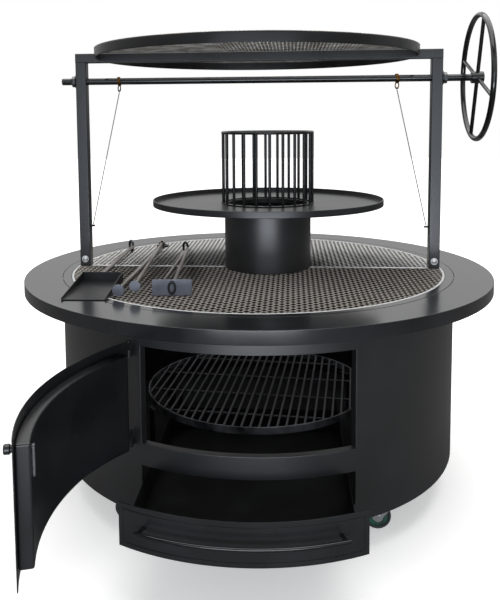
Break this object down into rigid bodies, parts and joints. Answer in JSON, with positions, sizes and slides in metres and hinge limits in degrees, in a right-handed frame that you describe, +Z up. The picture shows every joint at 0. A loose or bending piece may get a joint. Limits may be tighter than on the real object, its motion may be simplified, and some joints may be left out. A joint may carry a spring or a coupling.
{
  "type": "round charcoal grill",
  "caption": "Round steel charcoal grill on casters with a table rim, mesh top, fire basket on a flue, a gallows with a handwheel, an upper grate, a fire door and an ash drawer.",
  "frame": {"origin": "on the floor under the drum axis", "axes": "+Z up, -Y towards the door and drawer, +X towards the handwheel"},
  "size_m": [1.4998, 1.9183, 1.4935],
  "materials": {
    "black_steel": "satin black heat-proof paint",
    "inner_steel": "dull sheet steel, slightly sooted",
    "plate_steel": "oiled bare steel",
    "mesh_steel": "expanded steel with bright cut edges",
    "bearer_steel": "bright bare steel",
    "zinc": "zinc plated",
    "wire_steel": "steel wire",
    "brass": "worn brass",
    "grate_steel": "dark bar steel",
    "tyre": "dark rubber",
    "tool_steel": "dull bare steel",
    "blade_steel": "blue-grey scaled steel"
  },
  "bodies": {
    "drum": {"bearer_plate_left": "bearer_steel", "bearer_plate_right": "bearer_steel", "caster_plates": "zinc", "charcoal_band": "grate_steel", "charcoal_bars": "grate_steel", "crossbar": "black_steel", "drawer_rails": "inner_steel", "drum_floor": "inner_steel", "drum_shell": "black_steel", "grate_ledges": "grate_steel", "hinge_brackets": "black_steel", "mesh_back": "mesh_steel", "mesh_front": "mesh_steel", "post_bolts": "zinc", "post_left": "black_steel", "post_right": "black_steel", "shaft_bushes": "black_steel", "table_brackets": "black_steel", "table_ring": "black_steel", "top_collar": "black_steel", "wire_left": "wire_steel", "wire_right": "wire_steel"},
    "door": {"door_skin": "black_steel", "door_box": "inner_steel", "door_hinge_straps": "black_steel"},
    "latch": {"latch_lever": "zinc", "latch_knob": "black_steel"},
    "drawer": {"drawer_front": "black_steel", "drawer_tray": "inner_steel", "drawer_handle": "black_steel"},
    "winch": {"winch_shaft": "black_steel", "stop_collars": "black_steel", "handwheel_rim": "black_steel", "handwheel_spokes": "black_steel", "wire_hooks": "brass"},
    "upper_grate": {"upper_grate_band": "black_steel", "upper_grate_mesh": "mesh_steel"},
    "flue": {"flue_tube": "black_steel"},
    "plate": {"fire_plate": "plate_steel"},
    "basket": {"basket_foot": "black_steel", "basket_rim": "black_steel", "basket_bars": "black_steel"},
    "shovel": {"shovel_pan": "black_steel", "shovel_handle": "tool_steel"},
    "tongs_lower": {"tongs_lower_arm": "tool_steel"},
    "tongs_upper": {"tongs_upper_arm": "tool_steel"},
    "rake": {"rake_blade": "blade_steel", "rake_handle": "tool_steel"},
    "caster_front_left": {"caster_fork_front_left": "zinc"},
    "wheel_front_left": {"caster_hub_front_left": "zinc", "caster_tyre_front_left": "tyre"},
    "caster_front_right": {"caster_fork_front_right": "zinc"},
    "wheel_front_right": {"caster_hub_front_right": "zinc", "caster_tyre_front_right": "tyre"},
    "caster_back_left": {"caster_fork_back_left": "zinc"},
    "wheel_back_left": {"caster_hub_back_left": "zinc", "caster_tyre_back_left": "tyre"},
    "caster_back_right": {"caster_fork_back_right": "zinc"},
    "wheel_back_right": {"caster_hub_back_right": "zinc", "caster_tyre_back_right": "tyre"}
  },
  "joints": [
    {"name": "door_hinge", "type": "hinge", "parent": "drum", "child": "door", "pos_m": [-0.31172, -0.56468, 0.438], "axis": [0, 0, 1], "range_deg": [-40, 97.5]},
    {"name": "latch_turn", "type": "hinge", "parent": "door", "child": "latch", "pos_m": [-0.40515, -1.11272, 0.542], "axis": [-0.9655, -0.2605, 0], "range_deg": [0, 90]},
    {"name": "drawer_slide", "type": "slide", "parent": "drum", "child": "drawer", "axis": [0, 1, 0], "range_m": [-0.3, 0.205]},
    {"name": "winch_turn", "type": "hinge", "parent": "drum", "child": "winch", "pos_m": [0, 0, 1.289], "axis": [1, 0, 0], "continuous": true},
    {"name": "upper_grate_lift", "type": "slide", "parent": "drum", "child": "upper_grate", "axis": [0, 0, 1], "range_m": [0, 0.06]},
    {"name": "flue_lift", "type": "slide", "parent": "drum", "child": "flue", "axis": [0, 0, 1], "range_m": [0, 0.05]},
    {"name": "plate_lift", "type": "slide", "parent": "flue", "child": "plate", "axis": [0, 0, 1], "range_m": [0, 0.04]},
    {"name": "basket_lift", "type": "slide", "parent": "plate", "child": "basket", "axis": [0, 0, 1], "range_m": [0, 0.05]},
    {"name": "shovel_lift", "type": "slide", "parent": "drum", "child": "shovel", "axis": [0, 0, 1], "range_m": [0, 0.12]},
    {"name": "tongs_lift", "type": "slide", "parent": "drum", "child": "tongs_lower", "axis": [0, 0, 1], "range_m": [0, 0.12]},
    {"name": "tongs_squeeze", "type": "hinge", "parent": "tongs_lower", "child": "tongs_upper", "pos_m": [-0.366, 0.25, 0.69], "axis": [0, 0, 1], "range_deg": [-1.1, 1.5]},
    {"name": "rake_lift", "type": "slide", "parent": "drum", "child": "rake", "axis": [0, 0, 1], "range_m": [0, 0.12]},
    {"name": "caster_swivel_front_left", "type": "hinge", "parent": "drum", "child": "caster_front_left", "pos_m": [-0.387, -0.4, 0.09], "axis": [0, 0, 1], "continuous": true},
    {"name": "wheel_spin_front_left", "type": "hinge", "parent": "caster_front_left", "child": "wheel_front_left", "pos_m": [-0.359, -0.4, 0.0375], "axis": [0, 1, 0], "continuous": true},
    {"name": "caster_swivel_front_right", "type": "hinge", "parent": "drum", "child": "caster_front_right", "pos_m": [0.387, -0.4, 0.09], "axis": [0, 0, 1], "continuous": true},
    {"name": "wheel_spin_front_right", "type": "hinge", "parent": "caster_front_right", "child": "wheel_front_right", "pos_m": [0.359, -0.4, 0.0375], "axis": [0, 1, 0], "continuous": true},
    {"name": "caster_swivel_back_left", "type": "hinge", "parent": "drum", "child": "caster_back_left", "pos_m": [-0.387, 0.4, 0.09], "axis": [0, 0, 1], "continuous": true},
    {"name": "wheel_spin_back_left", "type": "hinge", "parent": "caster_back_left", "child": "wheel_back_left", "pos_m": [-0.359, 0.4, 0.0375], "axis": [0, 1, 0], "continuous": true},
    {"name": "caster_swivel_back_right", "type": "hinge", "parent": "drum", "child": "caster_back_right", "pos_m": [0.387, 0.4, 0.09], "axis": [0, 0, 1], "continuous": true},
    {"name": "wheel_spin_back_right", "type": "hinge", "parent": "caster_back_right", "child": "wheel_back_right", "pos_m": [0.359, 0.4, 0.0375], "axis": [0, 1, 0], "continuous": true}
  ]
}
